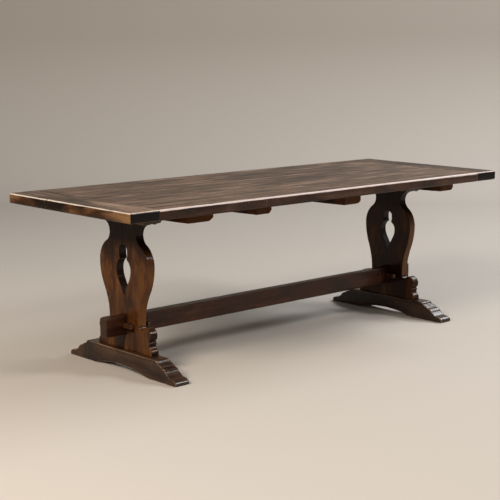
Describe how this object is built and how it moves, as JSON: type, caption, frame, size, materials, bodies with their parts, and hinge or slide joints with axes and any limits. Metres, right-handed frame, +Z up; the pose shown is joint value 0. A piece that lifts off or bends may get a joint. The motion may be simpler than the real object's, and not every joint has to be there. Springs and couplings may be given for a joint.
{
  "type": "refectory table",
  "caption": "Refectory table: boarded top with breadboard ends on pierced lyre trestles, tied by a keyed stretcher.",
  "frame": {"origin": "on the floor, below the middle of the top", "axes": "+X along the table to the right, +Y from the front to the back, +Z up"},
  "size_m": [2.4, 0.9, 0.78],
  "materials": {
    "top_oak": "waxed, worn",
    "breadboard_oak": "waxed, worn",
    "batten_oak": "stained, satin",
    "upright_oak": "waxed, satin",
    "foot_oak": "waxed, satin",
    "stretcher_oak": "waxed, worn",
    "key_oak": "waxed, satin",
    "peg_oak": "bare",
    "nail_iron": "blackened"
  },
  "bodies": {
    "table": {"top_plank_front": "top_oak", "top_plank_middle": "top_oak", "top_plank_back": "top_oak", "plank_tongue_front": "peg_oak", "plank_tongue_back": "peg_oak", "breadboard_left": "breadboard_oak", "breadboard_right": "breadboard_oak", "batten_1": "batten_oak", "batten_2": "batten_oak", "batten_3": "batten_oak", "batten_4": "batten_oak", "upright_left_front": "upright_oak", "upright_left_back": "upright_oak", "upright_right_front": "upright_oak", "upright_right_back": "upright_oak", "bearer_left": "foot_oak", "bearer_right": "foot_oak", "foot_left": "foot_oak", "foot_right": "foot_oak", "stretcher": "stretcher_oak", "breadboard_pegs": "peg_oak", "foot_pegs": "peg_oak", "bearer_pegs": "peg_oak", "upright_dowels_left": "peg_oak", "upright_dowels_right": "peg_oak", "batten_nails": "nail_iron", "bearer_nails": "nail_iron"},
    "key_left_outer": {"key_left_outer": "key_oak"},
    "key_left_inner": {"key_left_inner": "key_oak"},
    "key_right_outer": {"key_right_outer": "key_oak"},
    "key_right_inner": {"key_right_inner": "key_oak"}
  },
  "joints": [
    {"name": "key_left_outer_draw", "type": "slide", "parent": "table", "child": "key_left_outer", "axis": [0, -1, 0], "range_m": [0, 0.1]},
    {"name": "key_left_inner_draw", "type": "slide", "parent": "table", "child": "key_left_inner", "axis": [0, -1, 0], "range_m": [0, 0.1]},
    {"name": "key_right_outer_draw", "type": "slide", "parent": "table", "child": "key_right_outer", "axis": [0, -1, 0], "range_m": [0, 0.1]},
    {"name": "key_right_inner_draw", "type": "slide", "parent": "table", "child": "key_right_inner", "axis": [0, -1, 0], "range_m": [0, 0.1]}
  ]
}
